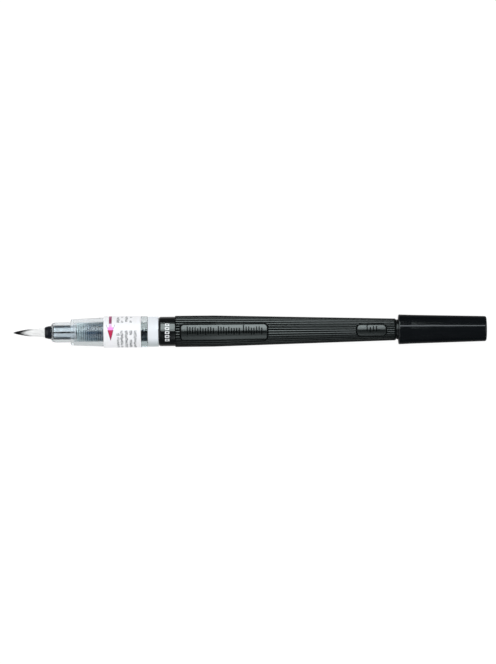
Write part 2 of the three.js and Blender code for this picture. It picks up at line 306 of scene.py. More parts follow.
BARREL_SLOPE = (BARREL_R - BARREL_TAIL_R) / (BARREL_END_X - TAPER_X)


def barrel_radius(x):
    """Radius over the ribs' crests."""
    return BARREL_R - BARREL_SLOPE * max(0.0, x - TAPER_X)


# ---------------------------------------------------------------- shader graphs


class Field:
    """A number at each point of a surface, so that formulas read as formulas."""

    def __init__(self, graph, socket):
        self.graph, self.socket = graph, socket

    def _do(self, op, *others):
        return self.graph.math(op, self, *others)

    def __add__(self, o):
        return self._do("ADD", o)

    def __sub__(self, o):
        return self._do("SUBTRACT", o)

    def __mul__(self, o):
        return self._do("MULTIPLY", o)

    def __truediv__(self, o):
        return self._do("DIVIDE", o)

    def below(self, o):
        return self._do("LESS_THAN", o)

    def above(self, o):
        return self._do("GREATER_THAN", o)

    def abs(self):
        return self._do("ABSOLUTE")

    def fract(self):
        return self._do("FRACT")

    def floor(self):
        return self._do("FLOOR")

    def sin(self):
        return self._do("SINE")

    def power(self, o):
        return self._do("POWER", o)

    def max(self, o):
        return self._do("MAXIMUM", o)

    def min(self, o):
        return self._do("MINIMUM", o)

    def ramp(self, low, high, to_low=0.0, to_high=1.0, curve="SMOOTHSTEP"):
        """Step from to_low at low to to_high at high."""
        node = self.graph.node("ShaderNodeMapRange")
        node.interpolation_type = curve
        self.graph.put(node.inputs["Value"], self)
        ends = {"From Min": low, "From Max": high, "To Min": to_low, "To Max": to_high}
        for key, value in ends.items():
            self.graph.put(node.inputs[key], value)
        return Field(self.graph, node.outputs["Result"])


class Tree:
    """A node tree whose numbers are written as formulas."""

    def __init__(self, tree):
        self.tree = tree
        tree.nodes.clear()

    def node(self, kind):
        return self.tree.nodes.new(kind)

    def link(self, a, b):
        self.tree.links.new(a, b)

    def put(self, target, value):
        if isinstance(value, Field):
            self.link(value.socket, target)
        elif isinstance(value, bpy.types.NodeSocket):
            self.link(value, target)
        else:
            target.default_value = value

    def math(self, op, *values):
        node = self.node("ShaderNodeMath")
        node.operation = op
        for target, value in zip(node.inputs, values):
            self.put(target, value)
        return Field(self, node.outputs[0])

    def axes(self, coordinates):
        """The three numbers of one kind of texture coordinates."""
        parts = self.node("ShaderNodeSeparateXYZ")
        self.link(self.node("ShaderNodeTexCoord").outputs[coordinates], parts.inputs[0])
        return [Field(self, socket) for socket in parts.outputs]

    def mirrored(self):
        """1 for a ray that a surface has reflected like a mirror, 0 for every other ray."""
        path = self.node("ShaderNodeLightPath")
        bounced = self.math("SUBTRACT", path.outputs["Is Glossy Ray"], path.outputs["Is Transmission Ray"])
        return bounced.above(0.5)


class Graph(Tree):
    """One material with a Principled shader, and the surface's coordinates about the pen's axis."""

    def __init__(self, name):
        self.material = bpy.data.materials.new(name)
        self.material.use_nodes = True
        super().__init__(self.material.node_tree)
        self.out = self.node("ShaderNodeOutputMaterial")
        self.bsdf = self.node("ShaderNodeBsdfPrincipled")
        self.bsdf.inputs["Subsurface Radius"].default_value = (1, 1, 1)
        self.link(self.bsdf.outputs[0], self.out.inputs["Surface"])
        self.coords = self.node("ShaderNodeTexCoord").outputs["Object"]
        x, y, z = self.axes("Object")
        self.x = x * (1 / MM)
        self.y = y * (1 / MM)
        self.z = z * (1 / MM) - AXIS_Z

    def angle(self):
        """Turn about the axis in radians, 0 at +Z and positive towards +Y."""
        return self.math("ARCTAN2", self.y, self.z)

    def radius(self):
        return self.math("SQRT", self.y * self.y + self.z * self.z)

    def noise(self, scale, detail=3.0, stretch=(1, 1, 1), seed=0.0):
        """Noise from 0 to 1, scale in features per millimetre."""
        move = self.node("ShaderNodeMapping")
        self.link(self.coords, move.inputs["Vector"])
        move.inputs["Scale"].default_value = stretch
        move.inputs["Location"].default_value = (seed, seed * 0.7, seed * 0.3)
        node = self.node("ShaderNodeTexNoise")
        self.link(move.outputs[0], node.inputs["Vector"])
        node.inputs["Scale"].default_value = scale / MM
        node.inputs["Detail"].default_value = detail
        return Field(self, node.outputs[0])

    def colour(self, factor, low, high):
        """Colour from low at factor 0 to high at factor 1. Either may itself be a colour socket."""
        node = self.node("ShaderNodeMix")
        node.data_type = "RGBA"
        self.put(node.inputs[0], factor)
        for target, value in ((node.inputs[6], low), (node.inputs[7], high)):
            self.put(target, (*value, 1.0) if isinstance(value, tuple) else value)
        return node.outputs[2]

    def bump(self, height, distance):
        """Bump from a height field; distance in millimetres."""
        node = self.node("ShaderNodeBump")
        node.inputs["Distance"].default_value = distance * MM
        self.put(node.inputs["Height"], height)
        self.link(node.outputs[0], self.bsdf.inputs["Normal"])

    def set(self, **values):
        """Sets or links the Principled shader's inputs by short names."""
        names = {
            "colour": "Base Color",
            "roughness": "Roughness",
            "ior": "IOR",
            "transmission": "Transmission Weight",
            "subsurface": "Subsurface Weight",
            "subsurface_scale": "Subsurface Scale",
            "specular": "Specular IOR Level",
        }
        for key, value in values.items():
            target = self.bsdf.inputs[names[key]]
            self.put(target, (*value, 1.0) if isinstance(value, tuple) else value)


def moulded(name, colour, roughness, grain=0.004, tint=0.12, ior=1.5):
    """Moulded plastic: faint mottling, fine grain, hairline handling scuffs along and across."""
    g = Graph(name)
    cloud = g.noise(0.12, 4.0)
    fine = g.noise(3.5, 3.0)
    along = g.noise(1.6, 2.0, stretch=(0.06, 1, 1), seed=3.1)
    dark = tuple(c * (1 - tint) for c in colour)
    light = tuple(min(1.0, c * (1 + tint) + 0.004) for c in colour)
    scuffs = along.ramp(0.6, 0.78) * 0.15 * roughness
    g.set(colour=g.colour(cloud, dark, light), ior=ior)
    g.set(roughness=cloud.ramp(0.3, 0.7, roughness * 0.88, roughness * 1.12) + scuffs)
    g.bump(fine + along * 0.4, grain)
    return g.material


def bristle_material():
    """White filaments, black with ink at the point and further up the sides, greyed by damp behind it."""
    g = Graph("bristle_filaments")
    strand = g.noise(5.0, 2.0, stretch=(0.05, 1, 1), seed=1.7)
    patch = g.noise(0.5, 2.0, stretch=(0.3, 1, 1), seed=5.2)
    from_tip = g.x - TIP_X
    side = ((g.y + 0.1).abs() / 1.2).min(1.0)
    edge = side.power(1.7) * 2.6 + (strand - 0.5) * 2.4 + (patch - 0.5) * 1.2
    ink = (from_tip - edge).ramp(2.4, 5.4, 1.0, 0.0)
    damp = (from_tip - edge).ramp(4.5, 7.0, 1.0, 0.0)
    bare = g.colour(strand, (0.975, 0.97, 0.955), (1.0, 0.995, 0.985))
    grey = g.colour(damp * 0.15, bare, (0.35, 0.37, 0.37))
    ink = ink.max(g.x.above(NOSE_X + 0.4))
    g.set(colour=g.colour(ink.power(0.8), grey, (0.0045, 0.005, 0.006)))
    g.set(roughness=(ink * -0.25) + 0.6, ior=1.4)
    g.bump(strand, 0.008)
    return g.material


def clear_material():
    """Faintly grey-green clear plastic: flow lines and fine scuffs, and lamps shine through it. Painted
    shade: a dark band on its upper side over the collector's edge, a darker lower side, and dark bands across
    the rear window.
    """
    g = Graph("clear_housing_plastic")
    flow = g.noise(0.25, 3.0, stretch=(0.15, 1, 1), seed=2.4)
    fine = g.noise(2.2, 3.0, seed=6.0)
    body = g.colour(flow, (0.735, 0.77, 0.79), (0.81, 0.84, 0.86))
    stain_and_painted_shade = g.colour(flow, (0.60, 0.65, 0.66), (0.68, 0.73, 0.74))
    # film is painted shade: a dark band on the shell's upper side, over the collector's edge
    film = g.y.ramp(3.2, 3.5) * g.y.ramp(4.0, 4.4, 1.0, 0.0) * g.x.ramp(-67.0, -59.0)
    body = g.colour(film, body, (0.24, 0.28, 0.29))
    # painted shade: the shell is darker towards its lower side
    low = g.y.ramp(-1.0, -4.5)
    body = g.colour(low, body, (0.58, 0.615, 0.625))
    # painted shade: across the rear window the tone darkens from the top to the middle and lightens a little
    # again lower down
    stain_and_painted_shade = g.colour(g.y.ramp(0.9, 0.1), stain_and_painted_shade, (0.26, 0.32, 0.36))
    stain_and_painted_shade = g.colour(g.y.ramp(-1.2, -4.2), stain_and_painted_shade, (0.38, 0.44, 0.45))
    g.set(colour=g.colour(g.x.ramp(-46.0, -43.0), body, stain_and_painted_shade))
    g.set(roughness=fine.ramp(0.4, 0.75, 0.045, 0.13), ior=1.49, transmission=1.0)
    g.bump(flow + fine * 0.15, 0.005)
    clear = g.node("ShaderNodeBsdfTransparent")
    clear.inputs[0].default_value = (0.84, 0.89, 0.9, 1)
    path = g.node("ShaderNodeLightPath")
    mix = g.node("ShaderNodeMixShader")
    g.link(path.outputs["Is Shadow Ray"], mix.inputs[0])
    g.link(g.bsdf.outputs[0], mix.inputs[1])
    g.link(clear.outputs[0], mix.inputs[2])
    g.link(mix.outputs[0], g.out.inputs["Surface"])
    return g.material


def collector_material():
    """Grey plastic fins, clean near the nose and wet with ink further back. Painted shade darkens the
    grooves; painted highlights lighten the fins' sides and upper edge; painted light lifts their lower side
    and the strip just ahead of the label.
    """
    g = Graph("collector_fins")
    cloud = g.noise(0.35, 3.0, seed=4.4)
    run = g.noise(1.2, 2.0, stretch=(1, 0.3, 0.3), seed=8.0)
    wet = (g.x + cloud * 2.4).ramp(-67.6, -62.4)
    full = g.x.ramp(-64.5, -54.5)
    # painted shade in the grooves between the fins; in the wet part it is also ink lying there
    groove_ink_and_shade = g.radius().ramp(3.6, 3.82, 1.0, 0.0)
    # thin is painted light from below: the inky fins are lighter towards their lower side
    thin = g.y.ramp(-0.4, -3.2)
    # rim is a painted highlight: the clean fins are paler towards their sides
    rim = (g.y.abs() / FIN_R).ramp(0.52, 0.80)
    clean = g.colour(cloud, (0.46, 0.54, 0.56), (0.58, 0.66, 0.68))
    clean = g.colour(groove_ink_and_shade * 0.85, clean, (0.05, 0.075, 0.085))
    clean = g.colour(rim * 0.8, clean, (0.86, 0.90, 0.91))
    inky = g.colour(thin, (0.065, 0.105, 0.155), (0.36, 0.46, 0.53))
    inky = g.colour(groove_ink_and_shade * 0.75, inky, (0.015, 0.028, 0.045))
    inky = g.colour(run.ramp(0.5, 0.75) * 0.25, inky, (0.16, 0.20, 0.23))
    # painted highlight: the inky fins are lighter near their upper edge
    inky = g.colour((g.y / FIN_R).ramp(0.55, 0.82) * 0.6, inky, (0.36, 0.44, 0.48))
    inky = g.colour(full, inky, g.colour(thin, (0.001, 0.006, 0.012), (0.036, 0.066, 0.086)))
    # painted light: lifts the label's shadow on the fins just ahead of its front edge
    shade = g.x.ramp(-59.6, -58.3) * g.x.ramp(-58.2, -57.8, 1.0, 0.0)
    body = g.colour(shade * 0.3, g.colour(wet, clean, inky), (0.40, 0.50, 0.58))
    g.set(colour=body, roughness=(wet * -0.25) + 0.45, ior=(full * -0.2) + 1.4)
    g.bump(cloud, 0.01)
    return g.material


def holder_material():
    """Translucent blue-grey sleeve; ink stands in its slots, and painted shade darkens its sides facing ±Y.
    """
    g = Graph("slotted_holder_plastic")
    cloud = g.noise(0.4, 3.0, seed=2.2)
    depth = g.radius()
    ink = depth.ramp(HOLDER_R - 0.1, HOLDER_R - 0.03, 1.0, 0.0)
    # painted shade: a dark band along the sleeve's sides facing ±Y, weaker towards the rear
    slope = (g.y / depth).abs() + (cloud - 0.5) * 0.06
    painted_flank_shade = slope.ramp(0.54, 0.66) * slope.ramp(0.96, 1.0, 1.0, 0.35)
    painted_flank_shade = painted_flank_shade * g.x.ramp(-72.1, -71.3, 1.0, 0.3)
    ink = ink * g.x.ramp(-72.1, -71.3, 1.0, 0.55)
    # where painted shade or ink is, the sleeve loses its subsurface light
    dark = ink.max(painted_flank_shade)
    shell = g.colour(cloud, (0.52, 0.53, 0.56), (0.62, 0.63, 0.665))
    shell = g.colour(painted_flank_shade, shell, (0.022, 0.034, 0.043))
    g.set(colour=g.colour(ink, shell, (0.004, 0.007, 0.010)), ior=1.4)
    g.set(roughness=cloud.ramp(0.3, 0.7, 0.26, 0.36) - ink * 0.2)
    g.set(subsurface=(dark * -0.9) + 0.9, subsurface_scale=0.0016)
    g.bump(cloud, 0.008)
    return g.material


def label_mark(g, face, across, arc):
    """A nib mark, from the pen's top down: a bar, a pale neck, two thin wings, a pink block and a cone."""
    bar = (across + 0.12).abs().below(0.56) * arc.above(3.5) * arc.below(9.3)
    neck = (across + 0.08).abs().below(0.6) * arc.above(1.6) * arc.below(3.5)
    wing_at = (arc - 1.5) * 0.36 + 1.2
    wings = (across.abs() - wing_at).abs().below(0.13) * arc.above(1.3) * arc.below(3.0)
    body = across.abs().below(1.14) * arc.above(0.7) * arc.below(1.95)
    cone_half = (arc + 3.8) * 0.258
    cone = across.abs().below(cone_half) * arc.below(0.72)
    rim = (across.abs() / cone_half.max(0.05)).ramp(0.45, 0.95)
    bar_ink = g.colour(arc.ramp(4.6, 8.0), (0.27, 0.005, 0.085), (0.42, 0.08, 0.20))
    pink = g.colour(arc.ramp(1.2, 3.4), (0.97, 0.27, 0.82), (0.90, 0.62, 0.88))
    crimson = g.colour(rim.max(arc.ramp(-0.8, -3.0)) * 0.85, (0.60, 0.010, 0.075), (0.20, 0.012, 0.07))
    face = g.colour(neck.max(body) * 0.95, face, pink)
    face = g.colour(wings * 0.7, face, (0.36, 0.34, 0.46))
    face = g.colour(bar * 0.95, face, bar_ink)
    return g.colour(cone, face, crimson)


def label_print(u, arc):
    """Mask of five rows of broken strokes round the label: stems and joiners at random, no letters."""
    mask = None
    for i, (row, pitch, top, foot) in enumerate(PRINT_ROWS):
        place = (arc + 20) / pitch
        index = place.floor()
        first = ((index * 12.9898 + 4.1 * i).sin() * 437.585).fract()
        second = ((index * 78.233 + 2.7 * i).sin() * 195.31).fract()
        word = (((index / (4.3 + 0.4 * (i % 3))).floor() * 31.7 + 9.2 * i).sin() * 871.3).fract()
        p = place.fract()
        q = u - row
        stem = p.below(0.56) * q.below(first * 0.36 + 0.3) * q.above(second * -0.36 - 0.3)
        joiner = (q - (first - 0.5) * 0.9).abs().below(0.17) * second.above(0.2)
        lines = stem.max(joiner) * word.above(0.08) * (second + first).above(0.25)
        lines = lines * (arc.above(3.9) * arc.below(top) + arc.below(0.5) * arc.above(foot))
        inked = lines * (word * 0.25 + 0.65)
        mask = inked if mask is None else mask.max(inked)
    return mask


def label_material():
    """White film with a pink and crimson nib mark across it and rows of grey greeked print."""
    g = Graph("printed_label_film")
    fibre = g.noise(2.4, 3.0, seed=1.1)
    cloud = g.noise(0.15, 2.0, seed=7.7)
    arc = g.angle() * LABEL_R
    u = g.x - LABEL_X
    face = g.colour(cloud, (0.95, 0.95, 0.965), (0.985, 0.98, 0.99))
    face = label_mark(g, face, u - 2.75, arc)
    face = g.colour(label_print(u, arc), face, (0.11, 0.12, 0.125))
    g.set(colour=face, roughness=cloud.ramp(0.3, 0.7, 0.36, 0.44), ior=1.4)
    g.bump(fibre, 0.004)
    return g.material


def collar_material():
    """Cool white moulded plastic, with painted shade greying its lower side."""
    g = Graph("collar_plastic")
    cloud = g.noise(0.2, 3.0, seed=9.1)
    fine = g.noise(3.0, 3.0)
    body = g.colour(cloud, (0.84, 0.885, 0.945), (0.91, 0.935, 0.97))
    # painted shade: darker and greyer towards the lower side
    g.set(colour=g.colour(g.y.ramp(-2.4, -5.4), body, (0.54, 0.585, 0.59)))
    g.set(roughness=cloud.ramp(0.3, 0.7, 0.42, 0.5), ior=1.48, subsurface=0.35, subsurface_scale=0.0012)
    g.bump(fine, 0.005)
    return g.material


def band_material():
    """Glossy black with a row of five white printed blocks across it."""
    g = Graph("glossy_band")
    cloud = g.noise(0.2, 3.0, seed=3.3)
    fine = g.noise(2.6, 3.0, stretch=(1, 0.15, 0.15), seed=5.0)
    arc = g.angle() * BAND_R
    u = g.x - BAND_X
    cell = (arc + 4.45) / 1.6
    within = cell.above(0) * cell.below(5)
    local = (cell.fract() - 0.5).abs() * 1.6
    side = (u - 3.4).abs()
    block = local.below(0.56) * side.below(0.85)
    notch = local.below(0.24) * side.below(0.48)
    print_mark = within * (block - notch).max(0)
    body = g.colour(cloud, (0.0035, 0.0045, 0.005), (0.0065, 0.008, 0.0085))
    g.set(colour=g.colour(print_mark, body, (0.84, 0.86, 0.86)))
    rough = fine.ramp(0.5, 0.75, 0.06, 0.12) + print_mark * 0.3
    g.set(roughness=rough, ior=1.5)
    g.bump(fine * 0.25 + cloud + print_mark * 0.6, 0.005)
    return g.material


def engraving(g):
    """Mask of the engraved bars on the two smooth panels: three groups and one, no letters."""
    mask = None
    for i, (start, pitch, count, shift, size) in enumerate(ENGRAVED_GROUPS):
        place = (g.x - start) / pitch
        index = place.floor()
        within = place.above(0) * place.below(count) * g.z.above(0)
        pick = ((index * 12.9898 + 7.3 * i).sin() * 437.585).fract()
        across = (place.fract() - 0.5).abs() * pitch
        top = (index.below(0.5) * 0.7 + pick.above(0.5) * 0.45 + 1.25) * size + shift
        foot = (pick.below(0.3) * -0.45 - 1.1) * size + shift
        along = ((g.y - (top + foot) * 0.5).abs() - (top - foot) * 0.5 + 0.22).max(0)
        mark = within * (across.power(2) + along.power(2)).below(0.052)
        mask = mark if mask is None else mask.max(mark)
    return mask


def barrel_material():
    """Satin charcoal with a green cast and faint streaks; painted shade darkens the grooves and the engraved
    bars and weakens their gloss.
    """
    g = Graph("ribbed_barrel_plastic")
    cloud = g.noise(0.09, 4.0, seed=1.4)
    grain = g.noise(4.0, 3.0, seed=2.8)
    streak = g.noise(1.4, 3.0, stretch=(0.04, 1, 1), seed=6.6)
    cuts = engraving(g)
    radius = g.radius()
    crest = (g.x - TAPER_X).max(0) * -BARREL_SLOPE + BARREL_R
    # painted shade: the grooves and the engraved bars get a darker colour and weaker gloss
    groove = ((crest - radius) / crest).ramp(0.007, 0.024)
    body = g.colour(cloud, (0.0048, 0.0068, 0.0068), (0.0080, 0.0104, 0.0102))
    body = g.colour(streak.ramp(0.5, 0.8) * 0.4, body, (0.018, 0.023, 0.022))
    body = g.colour(groove.max(cuts), body, (0.0025, 0.0035, 0.0036))
    g.set(colour=body, ior=1.5, specular=(groove.max(cuts) * -0.45) + 0.5)
    g.set(roughness=cloud.ramp(0.3, 0.7, 0.16, 0.20) + streak.ramp(0.55, 0.8) * 0.06)
    g.bump(grain * 0.05 + streak * 0.02 + cuts * -1.0, 0.12)
    return g.material


def cap_material():
    """Glossy black with fine hairlines along it and a little dust."""
    g = Graph("glossy_cap")
    cloud = g.noise(0.1, 3.0, seed=4.1)
    hair = g.noise(2.2, 2.0, stretch=(0.05, 1, 1), seed=7.2)
    dust = g.noise(1.1, 4.0, seed=9.9)
    body = g.colour(cloud, (0.0022, 0.0032, 0.0040), (0.0042, 0.0055, 0.0068))
    g.set(colour=g.colour(hair.ramp(0.45, 0.8) * 0.5, body, (0.010, 0.012, 0.014)))
    rough = hair.ramp(0.55, 0.8, 0.07, 0.13) + dust.ramp(0.68, 0.8) * 0.06
    g.set(roughness=rough, ior=1.5)
    g.bump(hair * 0.5 + cloud * 2.0, 0.004)
    return g.material


# ---------------------------------------------------------------- pieces


def add(obj, body, node, material):
    """Gives obj its material, and puts it on its body in the place of the CAD node."""
    obj.data.materials.clear()
    obj.data.materials.append(material)
    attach(obj, body)
    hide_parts(node)


def girth(s):
    """Radius of the tuft s millimetres from its point."""
    if s <= TUFT_POINT:
        return TUFT_SHOULDER_R * (s / TUFT_POINT) ** 0.6
    t = (s - TUFT_POINT) / (FERRULE_X - TIP_X - TUFT_POINT)
    return TUFT_SHOULDER_R + (TUFT_R - TUFT_SHOULDER_R) * min(t, 1.0)


def filament(rng, i, verts, faces):
    """Adds filament i, a thin tube that starts inside the ferrule, sways a little and tapers to its end."""
    turn = 2 * math.pi * (i + rng.uniform(-0.3, 0.3)) / FILAMENTS
    depth = 1 - 0.10 * rng.random() ** 2
    end = 0.02 + 2.2 * rng.random() ** 3 + (0 if i % 3 else 1.2 * rng.random())
    thick = rng.uniform(0.030, 0.046)
    sway = rng.uniform(-0.05, 0.05)
    wave = rng.uniform(0, 6.28)
    first = len(verts)
    for k in range(FILAMENT_ROWS + 1):
        t = k / FILAMENT_ROWS
        s = FILAMENT_ROOT + (end - FILAMENT_ROOT) * t ** 0.8
        swing = turn + sway * math.sin(t * 5.2 + wave)
        r = max(girth(s) * depth - thick, 0.0)
        w = thick * (1 - 0.75 * max(0.0, t - 0.6) / 0.4)
        cx, cy, cz = TIP_X + s, r * math.sin(swing), r * math.cos(swing)
        for j in range(FILAMENT_SIDES):
            a = 2 * math.pi * j / FILAMENT_SIDES
            du, dn = w * math.cos(a), w * math.sin(a)
            y = cy + du * math.cos(swing) + dn * math.sin(swing)
            z = cz - du * math.sin(swing) + dn * math.cos(swing)
            verts.append((cx, y, z))
    for k in range(FILAMENT_ROWS):
        for j in range(FILAMENT_SIDES):
            n = (j + 1) % FILAMENT_SIDES
            a, b = first + k * FILAMENT_SIDES, first + (k + 1) * FILAMENT_SIDES
            faces.append((a + j, a + n, b + n, b + j))
    faces.append(tuple(first + j for j in range(FILAMENT_SIDES)))
    last = first + FILAMENT_ROWS * FILAMENT_SIDES
    faces.append(tuple(last + j for j in reversed(range(FILAMENT_SIDES))))


def tuft():
    """Fine filaments laid on a core, drawn to a point by the ink."""
    rng = random.Random(7)
    core = [(TIP_X + 0.25, 0)]
    core += [(TIP_X + s, girth(s) * 0.93) for s in span(0.35, 12.7, 0.45)]
    core += [(TUFT_ROOT_X, 1.8), (TUFT_ROOT_X, 0)]
    base = spin("tuft_core", core, columns=72)
    verts = [tuple(v.co) for v in base.data.vertices]
    verts = [(x / MM, y / MM, z / MM - AXIS_Z) for x, y, z in verts]
    faces = [tuple(p.vertices) for p in base.data.polygons]
    bpy.data.objects.remove(base)
    for i in range(FILAMENTS):
        filament(rng, i, verts, faces)
    obj = finish_mesh("tuft_filaments", verts, faces, 60)
    add(obj, "front_section", "bristle_tuft", bristle_material())


def root_ring():
    """Crimp that gathers the roots of the filaments."""
    obj = spin("tuft_crimp_ring", turned(-76.9, -76.2, FERRULE_BORE_R, 2.28, 0.08), 96)
    material = moulded("crimp_ring_plastic", (0.03, 0.036, 0.045), 0.3)
    add(obj, "front_section", "tuft_root_ring", material)


def ferrule():
    """Black nose cone round the tuft, with a stepped shank inside the housing."""
    step, end = NOSE_X - 0.1, HOLDER_X - 0.1
    corners = [
        (FERRULE_X, FERRULE_BORE_R),
        (FERRULE_X, 2.17, 0.12),
        (-80.6, 2.54, 1.2),
        (step, 2.69, 0.06),
        (step, 2.56),
        (end, 2.56),
        (end, FERRULE_BORE_R),
    ]
    obj = spin("nose_ferrule", corners, 128)
    material = moulded("ferrule_plastic", (0.005, 0.007, 0.012), 0.24, grain=0.006)
    add(obj, "front_section", "tip_ferrule", material)


def holder():
    """Frosted sleeve behind the ferrule, slotted all round, with two slots longer than the rest."""
    corners = [
        (HOLDER_X, HOLDER_BORE_R),
        (HOLDER_X, HOLDER_R, 0.2),
        (HOLDER_END_X, HOLDER_R),
        (HOLDER_END_X, ROD_BORE_R),
        (-74.6, ROD_BORE_R),
        (-75.6, HOLDER_BORE_R),
    ]
    obj = spin("slotted_sleeve", corners, 120)
    half = SLOT_WIDTH / 2
    slots = []
    for i in range(SLOTS):
        end = -71.6 if i % 3 else -69.9
        slots.append(((HOLDER_X - 0.5, -half, 1.75), (end, half, 3.2), math.radians(360 / SLOTS * i)))
    cut(obj, slots)
    add(obj, "front_section", "slotted_holder", holder_material())


def wick():
    """Fibre rod that draws ink forward to the tuft."""
    obj = spin("ink_wick", turned(-75.9, -44.3, 0, ROD_R, 0.1), 64)
    material = moulded("wick_fibre", (0.02, 0.026, 0.036), 0.8, grain=0.03)
    add(obj, "front_section", "ink_feed_rod", material)


def collector():
    """Finned collector with a plain drum at its rear and one channel cut along its underside."""
    seat, socket = -44.0, TUBE_R + 0.1
    corners = [(COLLECTOR_X, ROD_BORE_R), (COLLECTOR_X, CORE_R)]
    for i in range(FINS):
        x = COLLECTOR_X + 0.3 + i * FIN_PITCH
        end = x + FIN_THICKNESS
        corners += [(x, CORE_R), (x + 0.03, FIN_R, 0.05), (end - 0.03, FIN_R, 0.05), (end, CORE_R)]
    corners += [(DRUM_X, CORE_R), (DRUM_X, FIN_R, 0.06)]
    corners += [(COLLECTOR_END_X, FIN_R, 0.1), (COLLECTOR_END_X, socket)]
    corners += [(seat, socket), (seat, ROD_BORE_R)]
    obj = spin("finned_collector", corners, 96, steps=2)
    cut(obj, [((COLLECTOR_X - 1, -0.35, 2.3), (COLLECTOR_END_X + 1, 0.35, 4.2), math.pi)])
    add(obj, "front_section", "ink_collector", collector_material())


def rear_plug():
    """Plug behind the collector, stepped down round the feed tube."""
    start, step, end, bore = -41.0, -39.2, -36.8, TUBE_R + 0.05
    corners = [
        (start, bore),
        (start, 3.87, 0.1),
        (step, 3.87, 0.2),
        (step, 2.2, 0.15),
        (end, 2.0, 0.15),
        (end, bore),
    ]
    obj = spin("collector_rear_plug", corners, 112)
    material = moulded("rear_plug_plastic", (0.03, 0.045, 0.07), 0.35, tint=0.3)
    add(obj, "front_section", "rear_plug", material)


def feed_tube():
    """Thin tube from the collector into the barrel, narrowed at its rear end."""
    start, end, bore = -43.8, -24.2, 0.65
    corners = [(start, bore), (start, TUBE_R, 0.08), (-25.4, TUBE_R, 0.15), (end, 0.9, 0.1), (end, bore)]
    obj = spin("feed_pipe", corners, 96)
    material = moulded("feed_pipe_plastic", (0.50, 0.56, 0.60), 0.2, tint=0.2)
    add(obj, "front_section", "feed_tube", material)


def housing():
    """Clear stepped shell with its threaded spigot."""
    skirt, lip = LABEL_X + 0.06, 2.7
    corners = [
        (NOSE_X, lip, 0.08),
        (NOSE_X, 3.15, 0.25),
        (-78.75, 3.72, 0.7),
        (-77.4, NOSE_R, 1.5),
        (SHOULDER_X, NOSE_R, 0.12),
        (SHOULDER_X, HOUSING_FRONT_R, 0.45),
        (skirt, HOUSING_REAR_R, 0.1),
        (skirt, SKIRT_R, 0.06),
        (HOUSING_END_X, SKIRT_R, 0.12),
        (HOUSING_END_X, SPIGOT_R),
    ]
    corners += [(x, SPIGOT_R) for x in span(-36.6, -31.4, 0.075)]
    corners += [
        (SPIGOT_END_X, SPIGOT_R, 0.3),
        (SPIGOT_END_X, CHAMBER_R, 0.1),
        (CHAMBER_X, CHAMBER_R, 0.04),
        (CHAMBER_X, NOSE_BORE_R, 0.04),
        (-78.5, NOSE_BORE_R, 0.05),
        (-78.6, lip, 0.05),
    ]
    ridge = helix_lift(-35.7, 2.2, 0.35, 0.0)
    obj = spin("clear_front_housing", corners, 180, shape=threaded(SPIGOT_R, ridge))
    add(obj, "front_section", "front_housing", clear_material())


def label():
    """Film wrapped round the housing's skirt."""
    corners = turned(LABEL_X - 0.08, LABEL_END_X, SKIRT_R + 0.02, LABEL_R, 0.03)
    obj = spin("wrap_label", corners, 200, steps=2)
    add(obj, "front_section", "label_sleeve", label_material())


def collar():
    """Loose white ring between the housing and the mouth."""
    start, end, bore, outer = HOUSING_END_X + 0.1, BAND_X - 0.1, 5.2, 6.02
    corners = [(start, bore, 0.1), (start, outer, 0.2), (end, outer, 0.2), (end, bore, 0.1)]
    obj = spin("spacer_ring", corners, 180)
    add(obj, "collar", "spacer_collar", collar_material())


def mouth():
    """Glossy mouthpiece with the screw groove in its bore."""
    face, end, floor, sleeve, neck = BARREL_X - 0.05, -25.6, -29.3, MOUTH_BORE_R + 0.1, 2.3
    corners = [
        (BAND_X, sleeve),
        (BAND_X, BAND_R, 0.8),
        (face, BAND_R, 0.06),
        (face, sleeve),
        (end, sleeve, 0.3),
        (end, neck, 0.1),
        (floor, neck, 0.1),
        (floor, MOUTH_BORE_R),
    ]
    corners += [(x, MOUTH_BORE_R) for x in span(-29.6, BAND_X + 0.1, 0.08)]
    groove = helix_lift(-37.5, 3.7, 0.55, -0.17)
    obj = spin("glossy_mouthpiece", corners, 160, shape=threaded(MOUTH_BORE_R, groove))
    add(obj, "barrel", "mouth_band", band_material())


def seal():
    """Rubber ring at the bottom of the mouth."""
    obj = spin("seal_washer", turned(-30.6, -29.5, 2.6, 4.4, 0.15), 112)
    material = moulded("seal_rubber", (0.02, 0.022, 0.024), 0.75, grain=0.012)
    add(obj, "barrel", "seal_ring", material)


def neck_plug():
    """Flanged plug in the barrel's neck, round the feed tube."""
    start, step, end, bore = -29.2, -25.4, -24.8, TUBE_R + 0.15
    corners = [
        (start, bore),
        (start, 2.2, 0.1),
        (step, 2.2),
        (step, 2.9, 0.1),
        (end, 2.9, 0.1),
        (end, bore),
    ]
    obj = spin("neck_plug", corners, 96)
    material = moulded("neck_plug_plastic", (0.045, 0.055, 0.062), 0.5)
    add(obj, "barrel", "orifice_plug", material)


def panel_distance(x, angle, radius):
    """Signed distance in millimetres to the nearest smooth panel's outline, negative inside."""
    best = 99.0
    for centre, middle, length, width, corner in PANELS:
        y = radius * math.sin(angle)
        if math.cos(angle) < 0:
            continue
        dx = abs(x - centre) - (length / 2 - corner)
        dy = abs(y - middle) - (width / 2 - corner)
        outside = math.hypot(max(dx, 0), max(dy, 0))
        best = min(best, outside + min(max(dx, dy), 0) - corner)
    return best


def smooth(low, high, value):
    """Smooth step from 0 at low to 1 at high."""
    t = max(0.0, min(1.0, (value - low) / (high - low)))
    return t * t * (3 - 2 * t)


def rounding(t):
    """Quarter circle from 0 at t = 0 to 1 at t = 1."""
    return math.sqrt(max(0.0, 1 - (1 - min(1.0, t)) ** 2))


